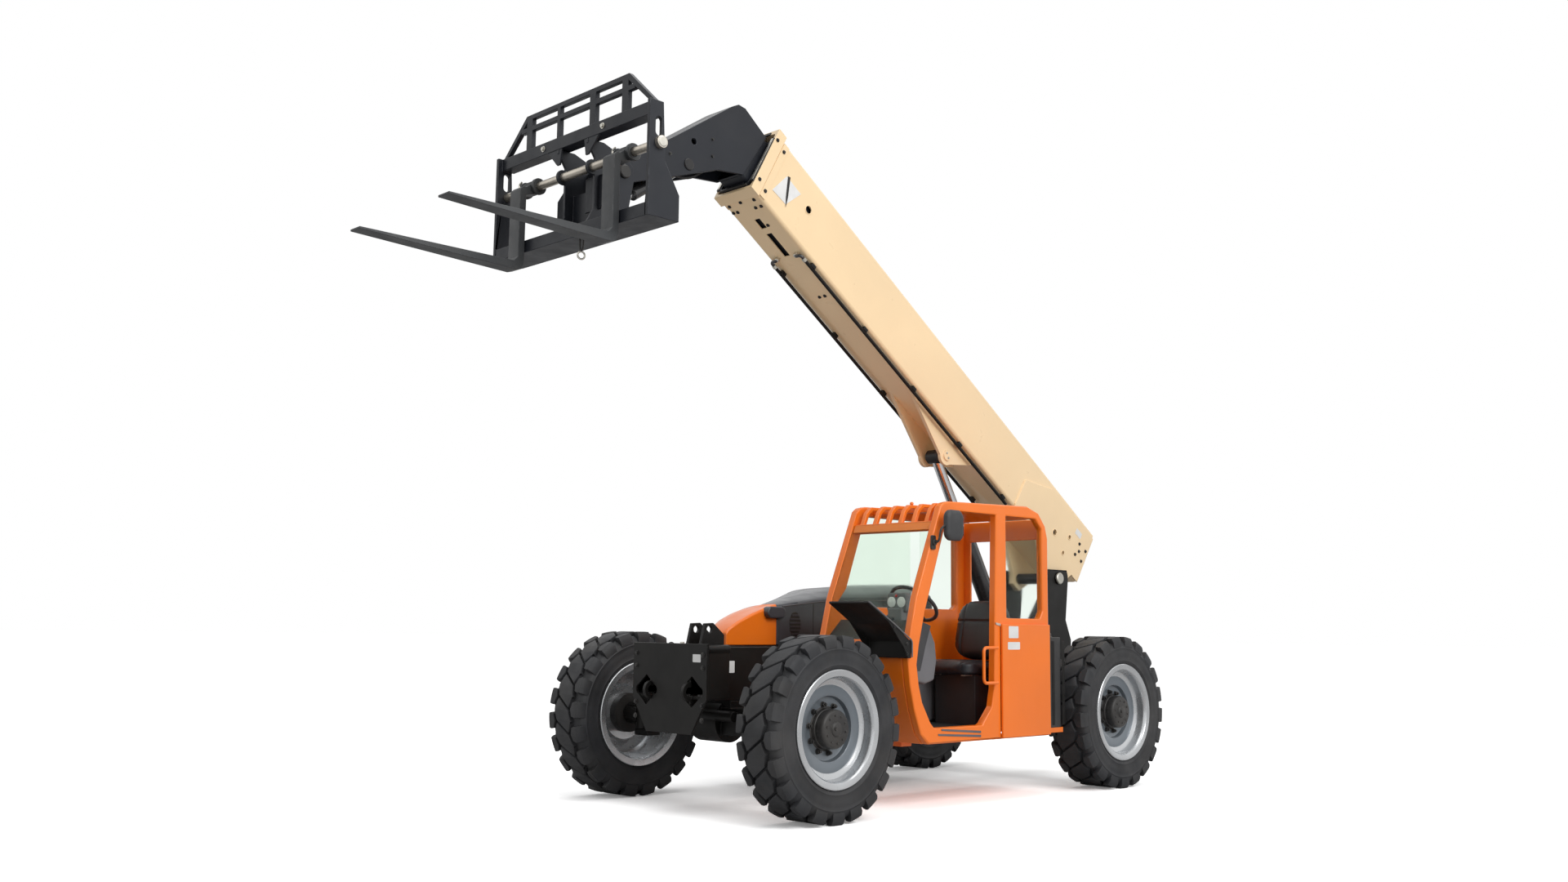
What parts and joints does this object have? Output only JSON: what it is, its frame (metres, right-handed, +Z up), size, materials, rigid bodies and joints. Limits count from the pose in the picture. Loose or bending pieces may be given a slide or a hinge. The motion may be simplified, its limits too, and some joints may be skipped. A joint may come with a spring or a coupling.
{
  "type": "telehandler",
  "caption": "Rough-terrain telehandler with a side cab, steered lugged wheels and a raised telescopic boom that carries a fork carriage with a load backrest.",
  "frame": {"origin": "on the floor, under the middle of the outline at rest with the boom raised and retracted", "axes": "+X forward along the forks, +Y to the machine's left, the cab side, +Z up"},
  "size_m": [7.4231, 2.52, 5.275],
  "materials": {
    "tyre": "matte black rubber",
    "rim_silver": "silver paint, hub black",
    "boom_cream": "semi-gloss cream paint",
    "orange": "gloss orange paint",
    "hood_black": "black hood moulding",
    "chassis_black": "black paint",
    "head_black": "satin blue-black paint",
    "fork_steel": "dark grey paint",
    "cylinder_black": "black paint",
    "rod_chrome": "hard chrome",
    "shaft_steel": "bright bar",
    "engine": "cast, dull",
    "glass": "clear, faintly green",
    "interior_black": "grained black plastic",
    "seat_black": "black vinyl",
    "tank_black": "black polyethylene"
  },
  "bodies": {
    "chassis": {"frame_rail_left": "chassis_black", "frame_rail_right": "chassis_black", "boom_tower_left": "chassis_black", "boom_tower_right": "chassis_black", "boom_pivot_pin": "chassis_black", "front_box": "chassis_black", "cross_members": "chassis_black", "lift_mount": "chassis_black", "side_brackets": "orange", "engine_bay": "chassis_black", "engine_block": "engine", "hood": "hood_black", "hood_nose": "orange", "cab_side_left": "orange", "cab_side_right": "orange", "cab_lower_panel": "orange", "cab_front_panel": "orange", "windscreen": "glass", "cab_side_glass": "glass", "cab_rear_panel": "orange", "cab_floor": "orange", "cab_roof": "orange", "dashboard": "interior_black", "steering_wheel": "interior_black", "seat_base": "interior_black", "seat_cushions": "seat_black", "mirror": "interior_black", "grab_handle": "orange", "mudguard": "chassis_black", "tank": "tank_black", "front_axle": "chassis_black", "rear_axle": "chassis_black"},
    "front_left_steer": {"front_left_knuckle": "chassis_black"},
    "front_left_wheel": {"front_left_tyre": "tyre", "front_left_rim": "rim_silver"},
    "front_right_steer": {"front_right_knuckle": "chassis_black"},
    "front_right_wheel": {"front_right_tyre": "tyre", "front_right_rim": "rim_silver"},
    "rear_left_steer": {"rear_left_knuckle": "chassis_black"},
    "rear_left_wheel": {"rear_left_tyre": "tyre", "rear_left_rim": "rim_silver"},
    "rear_right_steer": {"rear_right_knuckle": "chassis_black"},
    "rear_right_wheel": {"rear_right_tyre": "tyre", "rear_right_rim": "rim_silver"},
    "boom_outer": {"boom_base": "boom_cream", "boom_pipes": "chassis_black"},
    "boom_middle": {"boom_mid": "head_black"},
    "boom_inner": {"boom_fly": "head_black", "boom_head": "head_black"},
    "lift_cylinder": {"lift_barrel": "cylinder_black"},
    "lift_piston": {"lift_rod": "rod_chrome"},
    "tilt_cylinder": {"tilt_barrel": "cylinder_black"},
    "tilt_piston": {"tilt_rod": "rod_chrome"},
    "carriage": {"carriage_coupler": "head_black", "carriage_frame": "head_black", "load_backrest": "head_black", "fork_shaft": "shaft_steel"},
    "left_fork": {"fork_left": "fork_steel"},
    "right_fork": {"fork_right": "fork_steel"}
  },
  "joints": [
    {"name": "front_left_steering", "type": "hinge", "parent": "chassis", "child": "front_left_steer", "pos_m": [0.947, 0.86, 0.63], "axis": [0, 0, 1], "range_deg": [-38, 38]},
    {"name": "front_left_spin", "type": "hinge", "parent": "front_left_steer", "child": "front_left_wheel", "pos_m": [0.947, 1.05, 0.63], "axis": [0, 1, 0], "continuous": true},
    {"name": "front_right_steering", "type": "hinge", "parent": "chassis", "child": "front_right_steer", "pos_m": [0.947, -0.86, 0.63], "axis": [0, 0, 1], "range_deg": [-38, 38]},
    {"name": "front_right_spin", "type": "hinge", "parent": "front_right_steer", "child": "front_right_wheel", "pos_m": [0.947, -1.05, 0.63], "axis": [0, 1, 0], "continuous": true},
    {"name": "rear_left_steering", "type": "hinge", "parent": "chassis", "child": "rear_left_steer", "pos_m": [-2.553, 0.86, 0.63], "axis": [0, 0, 1], "range_deg": [-38, 38]},
    {"name": "rear_left_spin", "type": "hinge", "parent": "rear_left_steer", "child": "rear_left_wheel", "pos_m": [-2.553, 1.05, 0.63], "axis": [0, 1, 0], "continuous": true},
    {"name": "rear_right_steering", "type": "hinge", "parent": "chassis", "child": "rear_right_steer", "pos_m": [-2.553, -0.86, 0.63], "axis": [0, 0, 1], "range_deg": [-38, 38]},
    {"name": "rear_right_spin", "type": "hinge", "parent": "rear_right_steer", "child": "rear_right_wheel", "pos_m": [-2.553, -1.05, 0.63], "axis": [0, 1, 0], "continuous": true},
    {"name": "boom_lift", "type": "hinge", "parent": "chassis", "child": "boom_outer", "pos_m": [-3.003, 0, 1.78], "axis": [0, -1, 0], "range_deg": [-37, 36]},
    {"name": "boom_middle_slide", "type": "slide", "parent": "boom_outer", "child": "boom_middle", "axis": [0.829, 0, 0.5592], "range_m": [0, 3.3]},
    {"name": "boom_inner_slide", "type": "slide", "parent": "boom_middle", "child": "boom_inner", "axis": [0.829, 0, 0.5592], "range_m": [0, 3.3]},
    {"name": "lift_cylinder_swing", "type": "hinge", "parent": "chassis", "child": "lift_cylinder", "pos_m": [-2.539, 0, 1.17], "axis": [0, -1, 0], "range_deg": [-33, 32]},
    {"name": "lift_piston_slide", "type": "slide", "parent": "lift_cylinder", "child": "lift_piston", "axis": [0.5138, 0, 0.8579], "range_m": [-0.445, 0.43]},
    {"name": "carriage_tilt", "type": "hinge", "parent": "boom_inner", "child": "carriage", "pos_m": [2.077, 0, 4.47], "axis": [0, 1, 0], "range_deg": [-45, 60]},
    {"name": "tilt_cylinder_swing", "type": "hinge", "parent": "boom_inner", "child": "tilt_cylinder", "pos_m": [1.457, 0, 4.68], "axis": [0, 1, 0], "range_deg": [-10, 13]},
    {"name": "tilt_piston_slide", "type": "slide", "parent": "tilt_cylinder", "child": "tilt_piston", "axis": [0.8195, 0, -0.573], "range_m": [-0.215, 0.162]},
    {"name": "left_fork_slide", "type": "slide", "parent": "carriage", "child": "left_fork", "axis": [0, 1, 0], "range_m": [-0.25, 0.2]},
    {"name": "right_fork_slide", "type": "slide", "parent": "carriage", "child": "right_fork", "axis": [0, -1, 0], "range_m": [-0.25, 0.2]}
  ],
  "couplings": [
    {"joint": "front_right_steering", "follows": "front_left_steering", "ratio": 1},
    {"joint": "rear_right_steering", "follows": "rear_left_steering", "ratio": 1},
    {"joint": "boom_inner_slide", "follows": "boom_middle_slide", "ratio": 1},
    {"joint": "lift_cylinder_swing", "follows": "boom_lift", "ratio": 0.86},
    {"joint": "lift_piston_slide", "follows": "boom_lift", "m_per_rad": 0.68},
    {"joint": "tilt_cylinder_swing", "follows": "carriage_tilt", "ratio": 0.2},
    {"joint": "tilt_piston_slide", "follows": "carriage_tilt", "m_per_rad": -0.2}
  ]
}
